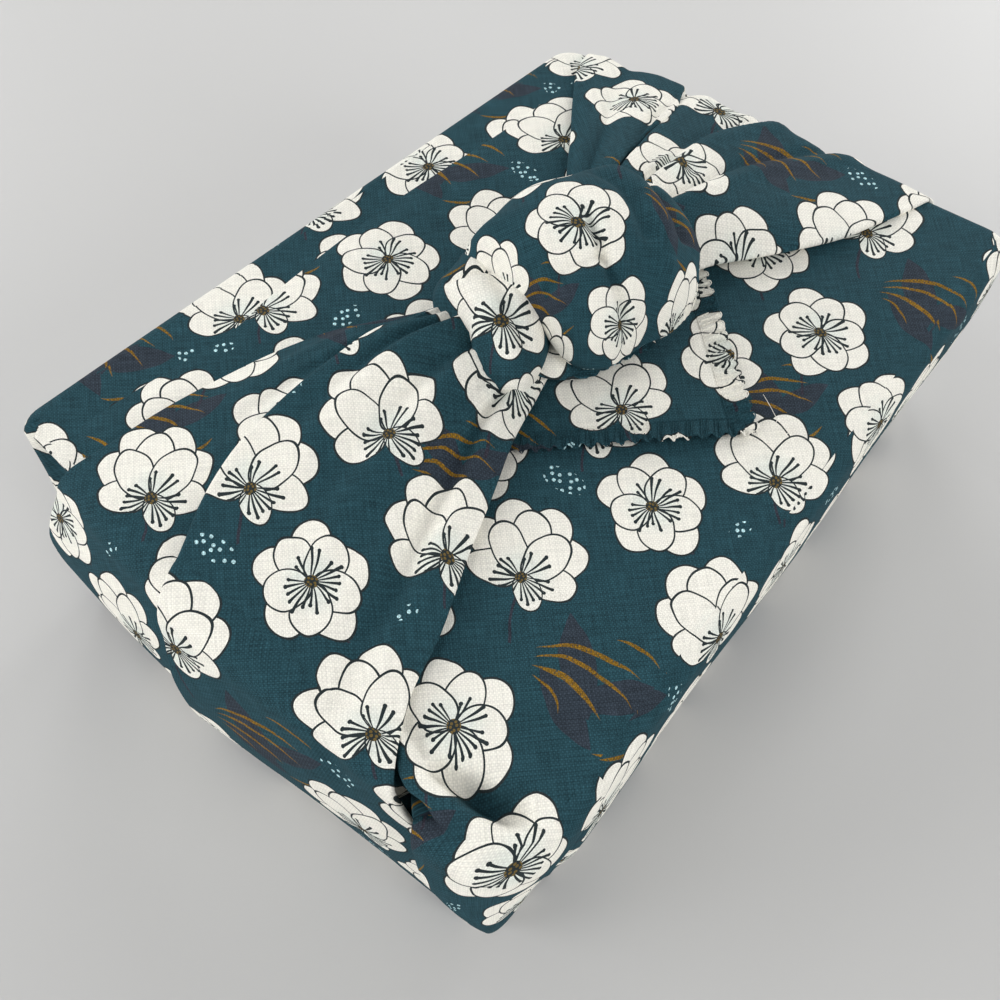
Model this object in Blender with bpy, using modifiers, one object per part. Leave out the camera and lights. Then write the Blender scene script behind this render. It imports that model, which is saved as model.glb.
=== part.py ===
"""Furoshiki wrap: one square cloth folded round a gift box and knotted on top.

Metres, +Z up. The origin is the middle of the footprint on the table.
+X runs along the long side, +Y to the far long side. The two plain corners
of the cloth lie flat over the top (the near panel, then the far flap with
its right-angled corner), the two end corners are gathered into ties that
climb the short walls and meet in the knot.
"""
import math

import bmesh
import bpy
import numpy as np

MM = 0.001

# --- driving sizes, mm -------------------------------------------------------
HALF_X = 126.0        # half of the long side, outside the cloth
HALF_Y = 89.0         # half of the short side
HEIGHT = 80.0         # table to the flat top layer
CLOTH = 1.8           # thickness of every layer
LAYER_GAP = 1.2       # air between the near panel and the flap over it
EDGE_R = 5.0          # roll of the cloth over the top edges
CORNER_R = 15.0       # roll round the upright corners
FLAP_TIP_Y = -66.0    # the flap's corner, on the centre line
FLAP_TIP_X = 1.0
PANEL_TIP_Y = 66.0    # hidden corner of the near panel, under the flap

# Walls of the wrapped box, bottom to top. The foot is tucked in a little.
WALL_ROWS = [
    # z,   half_x, half_y, corner_r
    (0.0,  123.0,  86.0,   14.0),
    (1.5,  125.2,  88.0,   15.0),
    (6.0,  127.0,  89.0,   15.0),
    (30.0, 127.4,  89.6,   13.0),
    (58.0, 126.6,  89.2,   11.0),
    (75.0, 126.0,  89.0,   10.0),
    (78.5, 124.6,  87.6,   9.0),
    (80.0, 121.2,  84.2,   7.0),
]

# The far end is a little narrower than the near one, and the near long wall
# leans in towards its foot.
TAPER = 0.026         # share of the width lost at the far end
LEAN = 5.0            # how far the foot of the near wall is tucked in

# Tie sections. u is the distance from the top edge of the short wall: below
# zero it runs down the wall, above zero it runs inward over the top.
# far, pleat and near are the Y of the two folded edges and of the pleat line
# between them, lift_* the height of the edges off the box, arch the swell.
TIE_LEFT = [
    # u,     far,   pleat, near,  lift_f, lift_n, arch
    (-77.0,  84.0,  10.0,  -79.0, 0.3,    0.3,    0.4),
    (-60.0,  83.0,  10.0,  -75.0, 0.6,    0.6,    3.6),
    (-40.0,  78.0,  10.0,  -68.0, 0.8,    0.8,    5.4),
    (-20.0,  69.0,  11.0,  -60.0, 0.9,    0.9,    4.4),
    (-7.0,   64.0,  12.0,  -55.5, 1.0,    1.4,    3.0),
    (0.0,    62.0,  13.5,  -53.5, 1.2,    2.0,    2.6),
    (7.0,    60.5,  17.0,  -49.0, 1.8,    2.6,    3.0),
    (16.0,   59.0,  22.0,  -44.0, 2.4,    3.0,    3.4),
    (30.0,   57.0,  27.0,  -39.5, 4.0,    3.2,    4.4),
    (50.0,   53.0,  29.0,  -31.0, 4.4,    4.0,    6.2),
    (68.0,   48.0,  27.0,  -24.0, 4.6,    4.6,    8.6),
    (84.0,   41.0,  25.0,  -17.5, 4.6,    4.6,    9.8),
    (98.0,   31.0,  21.0,  -13.0, 5.0,    5.0,    9.8),
    (112.0,  26.0,  17.0,  -9.5,  6.0,    6.0,    8.6),
    (125.0,  20.0,  13.0,  -9.0,  9.0,    9.0,    6.0),
]
TIE_RIGHT = [
    # u,     far,   pleat, near,  lift_f, lift_n, arch
    (-77.0,  82.0,  40.0,  -82.0, 0.3,    0.3,    0.4),
    (-60.0,  81.0,  40.0,  -79.0, 0.6,    0.6,    2.0),
    (-40.0,  80.0,  39.5,  -73.0, 0.8,    0.8,    3.0),
    (-20.0,  79.0,  39.0,  -66.0, 0.9,    0.9,    3.0),
    (-7.0,   77.5,  38.5,  -61.5, 0.8,    1.2,    1.4),
    (0.0,    76.5,  37.5,  -59.5, 1.0,    1.6,    1.2),
    (7.0,    75.0,  36.0,  -57.5, 2.4,    2.3,    1.8),
    (16.0,   71.5,  33.5,  -54.5, 4.2,    2.6,    3.0),
    (28.0,   64.0,  29.5,  -50.0, 4.8,    3.4,    4.4),
    (42.0,   55.0,  24.5,  -44.5, 5.0,    4.2,    6.2),
    (56.0,   45.5,  19.0,  -37.0, 5.4,    5.0,    8.2),
    (68.0,   38.0,  14.5,  -29.5, 6.2,    5.8,    9.8),
    (80.0,   30.0,  10.0,  -22.0, 7.0,    7.0,    9.8),
    (94.0,   22.0,  6.0,   -16.0, 9.0,    9.0,    7.0),
]
# Soft ridges that run into the knot: at is the share of the width from the
# far edge, wide its share, up its height where the tie is narrow.
RIDGES_LEFT = [
    # at,   wide,  up
    (0.16,  0.06,  0.8),
    (0.58,  0.07,  -0.9),
    (0.74,  0.06,  1.1),
    (0.87,  0.05,  -0.9),
]
RIDGES_RIGHT = [
    # at,   wide,  up
    (0.10,  0.05,  1.0),
    (0.24,  0.05,  -1.3),
    (0.36,  0.05,  1.3),
    (0.50,  0.05,  -1.2),
    (0.62,  0.06,  0.9),
    (0.82,  0.06,  -0.6),
]
PLEAT_STEP = 2.0      # height of the pleat's overlapping edge
BUNCH_FLOOR = 4.2     # under the bunched part of a tie, clear of the flap

# The main lobe of the knot: an oval, its long axis turned by LOBE_TURN.
LOBE_AT = (9.0, 0.0, 97.0)
LOBE_SIZE = (34.5, 28.0, 20.5)
LOBE_TURN = -45.0

# The tail under the knot: centre line, half-width across, half-thickness.
KNOT_TAIL = [
    # x,      y,      z,      across, thick
    (4.0,     -10.0,  93.0,   12.0,   5.0),
    (1.0,     -19.0,  89.5,   12.0,   3.4),
    (-1.5,    -26.5,  86.6,   10.5,   1.8),
    (-3.0,    -31.5,  85.2,   8.5,    1.1),
]
# Tucks pressed into the main lobe: a point on it, direction, depth, width.
KNOT_TUCKS = [
    # ax,    ay,    az,    dx,    dy,    deep, wide
    (0.10,   -0.55, 0.80,  0.10,  -1.0,  3.0,  0.16),
    (0.62,   -0.30, 0.70,  0.25,  -1.0,  1.8,  0.12),
    (-0.45,  -0.40, 0.78,  0.90,  -0.55, 2.4,  0.13),
    (0.86,   0.15,  0.45,  -0.10, -1.0,  2.2,  0.12),
]


def clear_scene():
    for ob in list(bpy.data.objects):
        bpy.data.objects.remove(ob, do_unlink=True)


def collection(name):
    coll = bpy.data.collections.new(name)
    bpy.context.scene.collection.children.link(coll)
    return coll


def smooth01(x):
    x = np.clip(x, 0.0, 1.0)
    return x * x * (3.0 - 2.0 * x)


def table_at(rows, column, u):
    """Read one column of a table at u, smoothly between its rows."""
    us = [r[0] for r in rows]
    vs = [r[column] for r in rows]
    slopes = np.gradient(vs, us)
    k = int(np.clip(np.searchsorted(us, u) - 1, 0, len(us) - 2))
    h = us[k + 1] - us[k]
    t = (u - us[k]) / h
    return ((2 * t**3 - 3 * t**2 + 1) * vs[k] + (t**3 - 2 * t**2 + t) * h * slopes[k]
            + (-2 * t**3 + 3 * t**2) * vs[k + 1] + (t**3 - t**2) * h * slopes[k + 1])


def settle(x, y, z):
    """Give a point of the square-built wrap its taper and its leaning wall."""
    x *= 1.0 - TAPER * smooth01((y + 10.0) / 100.0)
    y += LEAN * smooth01((70.0 - z) / 75.0) * smooth01((-y - 60.0) / 30.0)
    return (MM * x, MM * y, MM * z)


def mesh_object(name, verts, faces, coll, cutter=True):
    mesh = bpy.data.meshes.new(name)
    mesh.from_pydata([settle(*v) for v in verts], [], faces)
    mesh.validate()
    bm = bmesh.new()
    bm.from_mesh(mesh)
    bmesh.ops.recalc_face_normals(bm, faces=bm.faces)
    bm.to_mesh(mesh)
    bm.free()
    ob = bpy.data.objects.new(name, mesh)
    coll.objects.link(ob)
    if cutter:
        ob.hide_render = True
        ob.display_type = "WIRE"
    return ob


def grid_faces(rows, cols, wrap=False):
    out = []
    for i in range(rows - 1):
        for j in range(cols if wrap else cols - 1):
            k = (j + 1) % cols
            out.append((i * cols + j, i * cols + k, (i + 1) * cols + k, (i + 1) * cols + j))
    return out


def sheet_body(name, grid, coll, thick=CLOTH):
    """A grid of points made into cloth: half the thickness on each side."""
    rows, cols = len(grid), len(grid[0])
    ob = mesh_object(name, [p for row in grid for p in row], grid_faces(rows, cols), coll)
    solid = ob.modifiers.new("cloth", "SOLIDIFY")
    solid.thickness = thick * MM
    solid.offset = 0.0
    solid.use_even_offset = True
    return ob


def loop_body(name, loops, coll):
    """Closed loops lofted into a capped body."""
    rows, cols = len(loops), len(loops[0])
    faces = grid_faces(rows, cols, wrap=True)
    faces.append(tuple(reversed(range(cols))))
    faces.append(tuple((rows - 1) * cols + j for j in range(cols)))
    return mesh_object(name, [p for row in loops for p in row], faces, coll)


def rounded_rectangle(half_x, half_y, radius, z, arc=4, side=6):
    pts = []
    corners = [(half_x - radius, -half_y + radius, -90), (half_x - radius, half_y - radius, 0),
               (-half_x + radius, half_y - radius, 90), (-half_x + radius, -half_y + radius, 180)]
    for cx, cy, start in corners:
        for k in range(arc + 1):
            a = math.radians(start + 90.0 * k / arc)
            pts.append((cx + radius * math.cos(a), cy + radius * math.sin(a)))
    out = []
    for k, p in enumerate(pts):
        q = pts[(k + 1) % len(pts)]
        out.append((p[0], p[1], z))
        if math.dist(p, q) > 30.0:
            for m in range(1, side):
                out.append((p[0] + (q[0] - p[0]) * m / side, p[1] + (q[1] - p[1]) * m / side, z))
    return out


def wall_shell(name, inset, coll):
    loops = []
    for z, half_x, half_y, radius in WALL_ROWS:
        z_in = min(max(z, inset), HEIGHT - inset)
        loops.append(rounded_rectangle(half_x - inset, half_y - inset, max(radius - inset, 3.0), z_in))
    kept = [loops[0]] + [b for a, b in zip(loops, loops[1:]) if b[0][2] - a[0][2] > 0.4]
    return loop_body(name, kept, coll)


def panel_opening(coll):
    """Where the near panel ends under the flap: the kite between both hems."""
    tip, inner = PANEL_TIP_Y, 14.0
    reach = (tip - (FLAP_TIP_Y + inner)) / 2
    mid = tip - reach
    outline = [(0, tip), (-reach, mid), (0, FLAP_TIP_Y + inner), (reach, mid)]
    loops = [[(x, y, z) for x, y in outline] for z in (HEIGHT - 6.0, HEIGHT + 0.6)]
    return loop_body("panel_opening", loops, coll)


def flap(coll):
    """The far corner of the cloth: flat over the top, its hem at 45 degrees."""
    z_mid = HEIGHT + LAYER_GAP + CLOTH / 2
    grid = []
    for k in range(19):
        y = FLAP_TIP_Y + (HALF_Y - 9.0 - FLAP_TIP_Y) * (k / 18) ** 1.15
        half = min(2.0 + y - FLAP_TIP_Y, HALF_X - 7.0)
        row = []
        for j in range(17):
            s = j / 8 - 1.0
            wave = 0.25 * math.sin(0.21 * y + 3.0 * s) * smooth01((60.0 - y) / 20.0)
            drop = 3.1 * smooth01((y - 52.0) / 24.0)
            row.append((FLAP_TIP_X + s * half, y, z_mid + wave - drop))
        grid.append(row)
    return sheet_body("flap", grid, coll)


def corner_turn(y):
    """How far the short wall has turned in at y, round the upright corners."""
    past = abs(y) - (HALF_Y - CORNER_R)
    return CORNER_R - math.sqrt(CORNER_R**2 - past**2) if past > 0 else 0.0


def wrap_point(u, y, h, side):
    """A point h off the cloth's box: side is -1 on the left end, +1 on the right."""
    if u < -EDGE_R:
        x, z = HALF_X + h - corner_turn(y) * float(smooth01((-u - EDGE_R) / 12.0)), HEIGHT + u
    elif u > EDGE_R:
        x, z = HALF_X - u, HEIGHT + h
    else:
        a = (u + EDGE_R) / (2 * EDGE_R) * math.pi / 2
        x = HALF_X - EDGE_R + (EDGE_R + h) * math.cos(a)
        z = HEIGHT - EDGE_R + (EDGE_R + h) * math.sin(a)
    return (side * x, y, z)


def tie_height(t, u, row, ridges, step):
    """Height of the tie's upper face over the box at the share t of its width."""
    far, pleat, near, lift_f, lift_n, arch = row
    gather = float(smooth01((u + 10.0) / 70.0))
    h = lift_f + (lift_n - lift_f) * t + arch * (1.0 - abs(2 * t - 1) ** 2.6) + CLOTH / 2
    for at, wide, up in ridges:
        h += up * math.exp(-((t - at) / wide) ** 2) * (0.35 + 1.4 * gather)
    shown = float(smooth01((u + 77.0) / 12.0)) * PLEAT_STEP
    split = (far - pleat) / (far - near)
    over = (1.0 - (t - split) / (1.0 - split)) ** 0.5 if t > split else 0.0
    under = (t / split) ** 0.5 if t <= split else 0.0
    return h + shown * (over if step > 0 else under)


def tie(name, rows, ridges, side, step, coll, before=9, after=15, along=27):
    """A tie: thin cloth on the wall, bunched thicker where it nears the knot."""
    u0, u1 = rows[0][0], rows[-1][0]
    stations = sorted(set([u0 + (u1 - u0) * k / (along - 1) for k in range(along)]
                          + [-EDGE_R, -EDGE_R / 3, EDGE_R / 3, EDGE_R]))
    upper, lower = [], []
    for u in stations:
        row = [float(table_at(rows, c, u)) for c in range(1, 7)]
        far, pleat, near = row[:3]
        split = (far - pleat) / (far - near)
        lip = 0.5 / (far - near)
        shares = [split * j / before for j in range(before)] + [split - lip, split + lip]
        shares += [split + (1 - split) * j / after for j in range(1, after + 1)]
        top, under = [], []
        for t in shares:
            y = far + (near - far) * t
            h = tie_height(t, u, row, ridges, step)
            floor = h - CLOTH
            if u > 0.0:
                floor = min(floor, BUNCH_FLOOR + max(0.0, 20.0 - u))
            top.append(wrap_point(u, y, h, side))
            under.append(wrap_point(u, y, floor, side))
        upper.append(top)
        lower.append(under)
    loops = [top + under[::-1] for top, under in zip(upper, lower)]
    return loop_body(name, loops, coll)


def band(name, rows, coll, sides=14, steps=3, lobes=5):
    """A gathered roll of cloth: an oval section with lobes, swept on its path."""
    path = []
    for k in range(len(rows) - 1):
        for m in range(steps):
            path.append(k + m / steps)
    path.append(len(rows) - 1)
    pts = [[table_at([(i,) + r for i, r in enumerate(rows)], c, p) for c in range(1, 6)] for p in path]
    loops = []
    for k, (x, y, z, across, thick) in enumerate(pts):
        a, b = pts[max(k - 1, 0)][:3], pts[min(k + 1, len(pts) - 1)][:3]
        run = np.array(b) - np.array(a)
        run /= np.linalg.norm(run)
        side = np.array([1.0, 0.0, 0.0])
        side -= run * side.dot(run)
        side /= np.linalg.norm(side)
        up = np.cross(side, run)
        end = min(1.0, 0.45 + 0.55 * min(k, len(pts) - 1 - k) / 2)
        loop = []
        for j in range(sides):
            w = 2 * math.pi * j / sides
            ripple = 1.0 + 0.07 * math.cos(lobes * w + 0.4 * k)
            p = (np.array([x, y, z]) + side * across * end * ripple * math.cos(w)
                 + up * thick * end * ripple * math.sin(w))
            loop.append(tuple(p))
        loops.append(loop)
    return loop_body(name, loops, coll)


def main_lobe(coll):
    """The bun of the knot: a sphere pressed into an oval, with tucks."""
    bm = bmesh.new()
    bmesh.ops.create_uvsphere(bm, u_segments=28, v_segments=16, radius=1.0)
    tucks = []
    for ax, ay, az, dx, dy, deep, wide in KNOT_TUCKS:
        point = np.array([ax, ay, az]) / np.linalg.norm([ax, ay, az])
        across = np.cross(point, [dx, dy, 0.0])
        tucks.append((point, across / np.linalg.norm(across), deep, wide))
    turn = math.radians(LOBE_TURN)
    for v in bm.verts:
        n = np.array(v.co)
        swell = 1.0 + 0.04 * math.cos(2.2 * n[0] + 3.0 * n[1])
        for point, across, deep, wide in tucks:
            off = n.dot(across) / wide
            swell -= deep / 26.0 * math.exp(-off * off) * max(0.0, n.dot(point)) ** 3
        p = n * LOBE_SIZE * swell
        x = p[0] * math.cos(turn) - p[1] * math.sin(turn)
        y = p[0] * math.sin(turn) + p[1] * math.cos(turn)
        v.co = [MM * c for c in (LOBE_AT[0] + x, LOBE_AT[1] + y, LOBE_AT[2] + p[2])]
    mesh = bpy.data.meshes.new("knot_lobe")
    bm.to_mesh(mesh)
    bm.free()
    ob = bpy.data.objects.new("knot_lobe", mesh)
    ob.hide_render = True
    ob.display_type = "WIRE"
    coll.objects.link(ob)
    return ob


def cloth_material():
    mat = bpy.data.materials.new("printed_cotton")
    mat.use_nodes = True
    shader = mat.node_tree.nodes["Principled BSDF"]
    shader.inputs["Base Color"].default_value = (0.028, 0.085, 0.115, 1.0)
    shader.inputs["Roughness"].default_value = 0.85
    shader.inputs["Metallic"].default_value = 0.0
    return mat


def boolean(ob, other, operation):
    mod = ob.modifiers.new(operation.lower() + "_" + other.name, "BOOLEAN")
    mod.operation = operation
    mod.object = other
    mod.solver = "EXACT"


def main():
    clear_scene()
    model = collection("furoshiki_wrap")
    tools = collection("cutters")

    cloth = wall_shell("furoshiki_cloth", 0.0, model)
    cloth.hide_render = False
    cloth.display_type = "TEXTURED"
    cloth.data.materials.append(cloth_material())

    boolean(cloth, wall_shell("box_space", CLOTH, tools), "DIFFERENCE")
    boolean(cloth, panel_opening(tools), "DIFFERENCE")
    boolean(cloth, flap(tools), "UNION")
    boolean(cloth, tie("tie_left", TIE_LEFT, RIDGES_LEFT, -1, 1, tools), "UNION")
    boolean(cloth, tie("tie_right", TIE_RIGHT, RIDGES_RIGHT, 1, -1, tools), "UNION")
    boolean(cloth, main_lobe(tools), "UNION")
    boolean(cloth, band("knot_tail", KNOT_TAIL, tools, lobes=3), "UNION")


main()
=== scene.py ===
# %% [markdown]
# # A furoshiki wrap, folded and knotted
#
# A furoshiki is one square of cotton. This one is folded into a box shape: two
# corners lie flat over the top, the other two are gathered into ties and
# knotted. The lesson builds the cloth as a few smooth grids that lie on each
# other the way the real layers do, and prints it with a pattern made of
# shader nodes. Everything is worked out in millimetres and turned into metres
# when a mesh is made.

# %% Open the frame
import math
from functools import reduce
from operator import or_

import bpy
import numpy as np
from mathutils import Matrix, Vector, noise


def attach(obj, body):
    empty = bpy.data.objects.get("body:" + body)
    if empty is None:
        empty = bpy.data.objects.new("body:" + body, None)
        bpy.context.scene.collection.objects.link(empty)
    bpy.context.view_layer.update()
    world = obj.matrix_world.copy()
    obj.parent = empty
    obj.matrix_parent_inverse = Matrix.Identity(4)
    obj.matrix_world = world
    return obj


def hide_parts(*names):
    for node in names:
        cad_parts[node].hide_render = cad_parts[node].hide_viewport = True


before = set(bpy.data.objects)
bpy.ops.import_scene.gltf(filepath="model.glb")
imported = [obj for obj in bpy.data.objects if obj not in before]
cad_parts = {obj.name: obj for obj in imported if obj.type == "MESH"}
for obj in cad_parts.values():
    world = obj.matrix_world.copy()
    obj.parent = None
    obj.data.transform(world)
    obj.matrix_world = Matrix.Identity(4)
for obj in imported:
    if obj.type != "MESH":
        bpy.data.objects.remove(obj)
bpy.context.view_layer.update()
MM = 0.001
print("solids:", *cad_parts)

# %% [markdown]
# ## The camera
#
# The photo is taken by hand from above the near left corner. A phone's main
# lens is close to 32 mm on a 36 mm wide sensor. The camera is placed first,
# because every fold is judged through it.

# %% Camera
CAMERA_AT = (-157.4, -105.4, 266.5)
CAMERA_RIGHT = (0.63518, -0.77223, 0.01418)
CAMERA_LOOK = (0.44199, 0.34837, -0.82661)
SENSOR, LENS, NEAR_CLIP = 36.0, 32.4, 0.01


def add_object(name, data):
    made = bpy.data.objects.new(name, data)
    bpy.context.scene.collection.objects.link(made)
    return made


def place_camera():
    look, right = Vector(CAMERA_LOOK).normalized(), Vector(CAMERA_RIGHT)
    right = (right - look * right.dot(look)).normalized()
    camera = add_object("camera", bpy.data.cameras.new("camera"))
    camera.data.sensor_width, camera.data.lens, camera.data.clip_start = SENSOR, LENS, NEAR_CLIP
    turned = Matrix((right, right.cross(look), -look)).transposed().to_4x4()
    camera.matrix_world = Matrix.Translation(Vector(CAMERA_AT) * MM) @ turned
    bpy.context.scene.camera = camera
    return camera


camera = place_camera()
print("camera height, mm:", round(camera.matrix_world.translation.z / MM))

# %% [markdown]
# ## Reading shapes from short tables
#
# A fold changes slowly along its length, so a few rows are enough to describe
# it. `columns` reads a table smoothly between its rows, `smooth01` is the
# usual ease in and out, and `bell` is a soft bump round a line.


# %% Table helpers
def smooth01(x):
    x = np.clip(x, 0.0, 1.0)
    return x * x * (3.0 - 2.0 * x)


def bell(away, wide):
    return np.exp(-(away / wide) ** 2)


def xyz(x, y, z):
    return np.stack(np.broadcast_arrays(x, y, z), axis=-1)


def columns(rows, at):
    """The columns after a table's first, read smoothly at places in the first."""
    place, *values = np.array(rows, float).T
    at = np.clip(at, place[0], place[-1])
    k = np.clip(np.searchsorted(place, at) - 1, 0, len(place) - 2)
    step = place[k + 1] - place[k]
    t = (at - place[k]) / step
    ease = smooth01(t)
    found = []
    for value in values:
        slope = np.gradient(value, place)
        bend = t * (1 - t) * step * ((1 - t) * slope[k] - t * slope[k + 1])
        found.append((1 - ease) * value[k] + ease * value[k + 1] + bend)
    return found


def beside(x, y, line):
    """Distance to a line of points, which side it is on, and how far along."""
    shape = np.broadcast(x, y).shape
    best, side, along = np.full(shape, 1e9), np.zeros(shape), np.zeros(shape)
    lengths = [math.dist(a, b) for a, b in zip(line, line[1:])]
    run = 0.0
    for (ax, ay), (bx, by), length in zip(line, line[1:], lengths):
        t = np.clip(((x - ax) * (bx - ax) + (y - ay) * (by - ay)) / length**2, 0, 1)
        away = np.hypot(x - ax - t * (bx - ax), y - ay - t * (by - ay))
        left = np.sign((bx - ax) * (y - ay) - (by - ay) * (x - ax))
        near = away < best
        best = np.where(near, away, best)
        side = np.where(near, left, side)
        along = np.where(near, (run + t * length) / sum(lengths), along)
        run += length
    return best, side, along


def ripple(points, scale, seed):
    """Smooth, repeatable unevenness for an array of points."""
    flat = points.reshape(-1, 3) / scale + (seed, 0.0, 0.0)
    return np.array([noise.noise(Vector(p)) for p in flat]).reshape(points.shape[:-1])


print("ease in and out at a quarter:", float(smooth01(0.25)))

# %% [markdown]
# ## One cloth, one mesh
#
# All the layers belong to one square, so they end up in one mesh. Each grid
# also gets print coordinates: where each point lies on the flat printed
# cloth. The print stands upright along the 45 degree grain, and the cloth is
# stretched a little more towards the far corner.

# %% Collect the layers
GRAIN = math.sqrt(0.5)
PRINT_SHIFT = (0.0, -10.0)
cloth_parts = []


def stretch(up):
    return smooth01((up + 150.0) / 270.0)


UP = np.arange(-260.0, 261.0, 2.0)
RISE = np.cumsum(2.0 / (0.91 + 0.28 * stretch(UP)))
RISE -= np.interp(0.0, UP, RISE)


def print_place(x, y, shift=PRINT_SHIFT):
    """Place on the print, in mm, of a point over the box top."""
    across, up = (x - y) * GRAIN, (x + y) * GRAIN
    across = across / (0.81 + 0.25 * stretch(up))
    return np.stack([across + shift[0], np.interp(up, UP, RISE) + shift[1]], axis=-1)


def settle(points):
    """The box narrows a little at its far side and under its lid."""
    x, y, z = np.moveaxis(points, -1, 0)
    narrow = 1.0 - 0.026 * smooth01((y + 10.0) / 100.0)
    lean = 5.0 * smooth01((70.0 - z) / 75.0) * smooth01((-y - 60.0) / 30.0)
    return xyz(x * narrow, y + lean, z)


def add_layer(name, points, place):
    """points is rows by columns by 3, in mm; place is where they are printed."""
    cloth_parts.append((settle(points), place))
    print(f"{name}: {points.shape[0]} x {points.shape[1]} points")


# %% [markdown]
# ## The wrapped box
#
# Under the ties the cloth is stretched into a box: a flat top, four walls
# and soft corners. A square grid is pressed into a rectangle with round
# corners, so that the same columns run down the walls.

# %% Sizes of the wrap
HALF_X, HALF_Y, HEIGHT = 126.4, 89.2, 80.0
FOOT_R, EDGE_R, CORNER_R = 3.0, 4.6, 9.0
WALL_STEPS, SUNK = 20, 10.0
SPREAD_X = np.concatenate([np.linspace(-1, -0.78, 15), np.linspace(-0.765, 1, 96)])
SPREAD_Y = np.concatenate([np.linspace(-1, -0.55, 24), np.linspace(-0.53, 1, 56)])


def plan(s, t, inset):
    """A square (-1 to 1) pressed into the box's outline, drawn in by inset."""
    half = np.array([HALF_X, HALF_Y]) - inset
    straight = half - (CORNER_R - 0.4 * inset)
    at = np.stack([s, t], axis=-1) * half
    past = np.abs(at) - straight
    corner = (past > 0).all(axis=-1, keepdims=True)
    reach = np.linalg.norm(past, axis=-1, keepdims=True) + 1e-9
    ring = straight + past * past.max(axis=-1, keepdims=True) / reach
    at = np.where(corner, np.sign(at) * ring, at)
    return at[..., 0], at[..., 1]


def wall_profile():
    """Height and inset of each ring, from the foot to the top edge."""
    foot, edge = (np.linspace(0, math.pi / 2, count) for count in (5, 8))
    rings = [(FOOT_R * (1 - math.cos(a)), FOOT_R * (1 - math.sin(a))) for a in foot]
    rings += [(z, 0.0) for z in np.linspace(FOOT_R, HEIGHT - EDGE_R, WALL_STEPS)[1:-1]]
    top = HEIGHT - EDGE_R
    return rings + [(top + EDGE_R * math.sin(a), EDGE_R * (1 - math.cos(a))) for a in edge]


# %% [markdown]
# The cloth is not a machined block. The long walls belly a little, the top
# has slow waves that run towards the knot, and at the two left corners the
# spare cloth is tucked into a pocket.

# %% Soft relief of the wrapped box
TOP_CREASES = [
    # line over the top, deep, wide
    ([(-60, -84), (-30, -52), (-8, -30)], -0.5, 7),
    ([(30, -84), (34, -55), (36, -34)], 0.35, 8),
    ([(118, -70), (90, -58), (60, -40)], -0.5, 6),
    ([(122, -50), (104, -66), (70, -84)], 0.5, 6),
    ([(-100, 78), (-60, 66), (-20, 40)], 0.4, 7),
]
POCKETS = [
    # y, half, deep, from_z, over, lid_z, lid
    (-61, 8,  9,   44, 14, 79.6, 1.2),
    (71,  12, 5.4, 48, 16, 79.4, 1.6),
]


def top_relief(x, y):
    z = 0.35 * np.sin(0.045 * x + 0.02 * y) * np.cos(0.05 * y)
    for line, deep, wide in TOP_CREASES:
        away, _, along = beside(x, y, line)
        z = z + deep * bell(away, wide) * np.sin(math.pi * np.clip(along, 0.02, 0.98))
    return z


def wall_relief(x, y, z):
    """How far the wall stands out, by place and height."""
    up = np.clip(z / HEIGHT, 0, 1)
    waves = 0.9 + 0.5 * np.sin(0.06 * x + 2.6 * up) + 0.4 * np.sin(0.09 * y + 4.0 * up)
    covered = smooth01((-104.0 - x) / 8.0) * smooth01((-68.0 - y) / 8.0)
    groove = bell(y - 77.0 - 6.0 * up, 2.0) * smooth01((up - 0.2) / 0.3)
    dips = 3.2 * groove
    for at, half, deep, low, over, lid_z, lid in POCKETS:
        pocket = np.exp(-((y - at) / half) ** 4) * smooth01((z - low) / over)
        dips = dips + deep * pocket * smooth01((lid_z - z) / lid)
    return waves * np.sin(math.pi * up) - 4.0 * covered - dips * (x < -100)


# %% Build the wrapped box
def edge_square():
    """Once round the rim of a square (-1 to 1), in the steps of the walls."""
    s, t = SPREAD_X, SPREAD_Y
    ring = [(a, -1.0) for a in s[:-1]] + [(1.0, b) for b in t[:-1]]
    ring += [(a, 1.0) for a in s[:0:-1]] + [(-1.0, b) for b in t[:0:-1]]
    return np.array(ring + ring[:1]).T


def sunk(x, y):
    """How much lower the top lies under the folds of the near left corner."""
    return SUNK * smooth01((-104.0 - x) / 5.0) * smooth01((-46.0 - y) / 5.0)


def build_box():
    s, t = edge_square()
    end = np.abs(s) == 1.0
    rows, places = [], []
    for z, inset in wall_profile():
        x, y = plan(s, t, inset)
        lid = z > HEIGHT / 2
        out = wall_relief(x, y, z)
        out_x = np.where(end, np.sign(x), 0.25 * x / HALF_X) * out
        out_y = np.where(end, 0.25 * y / HALF_Y, np.sign(y)) * out
        rise = top_relief(x, y) * lid * inset / EDGE_R - sunk(x, y) * smooth01((z - 54.0) / 20.0)
        rows.append(xyz(x + out_x, y + out_y, z + rise))
        drop = HEIGHT - z + lid * (EDGE_R * 0.57 - inset)
        px = np.clip(x, 4 - HALF_X, HALF_X - 4) + np.sign(x) * drop * end
        py = np.clip(y, 4 - HALF_Y, HALF_Y - 4) + np.sign(y) * drop * ~end
        places.append(print_place(px, py))
    add_layer("walls", np.array(rows), np.array(places))
    x, y = plan(*np.meshgrid(SPREAD_X, SPREAD_Y), EDGE_R)
    add_layer("top", xyz(x, y, HEIGHT + top_relief(x, y) - sunk(x, y)), print_place(x, y))
    s, t = np.meshgrid(*(np.append(line[:-1:6], 1.0) for line in (SPREAD_X, SPREAD_Y)))
    x, y = plan(s[:, ::-1], t, FOOT_R)
    add_layer("underside", xyz(x, y, 0.0), print_place(x, y))


build_box()

# %% [markdown]
# ## The folds of the near left corner
#
# The spare cloth of the near left corner makes two folds. The top panel rolls
# over the edge as a lip and turns back into a dark pocket. Below the pocket a
# second fold hangs round the corner and runs down to the foot, and its free
# edge lies over the left tie.

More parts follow.
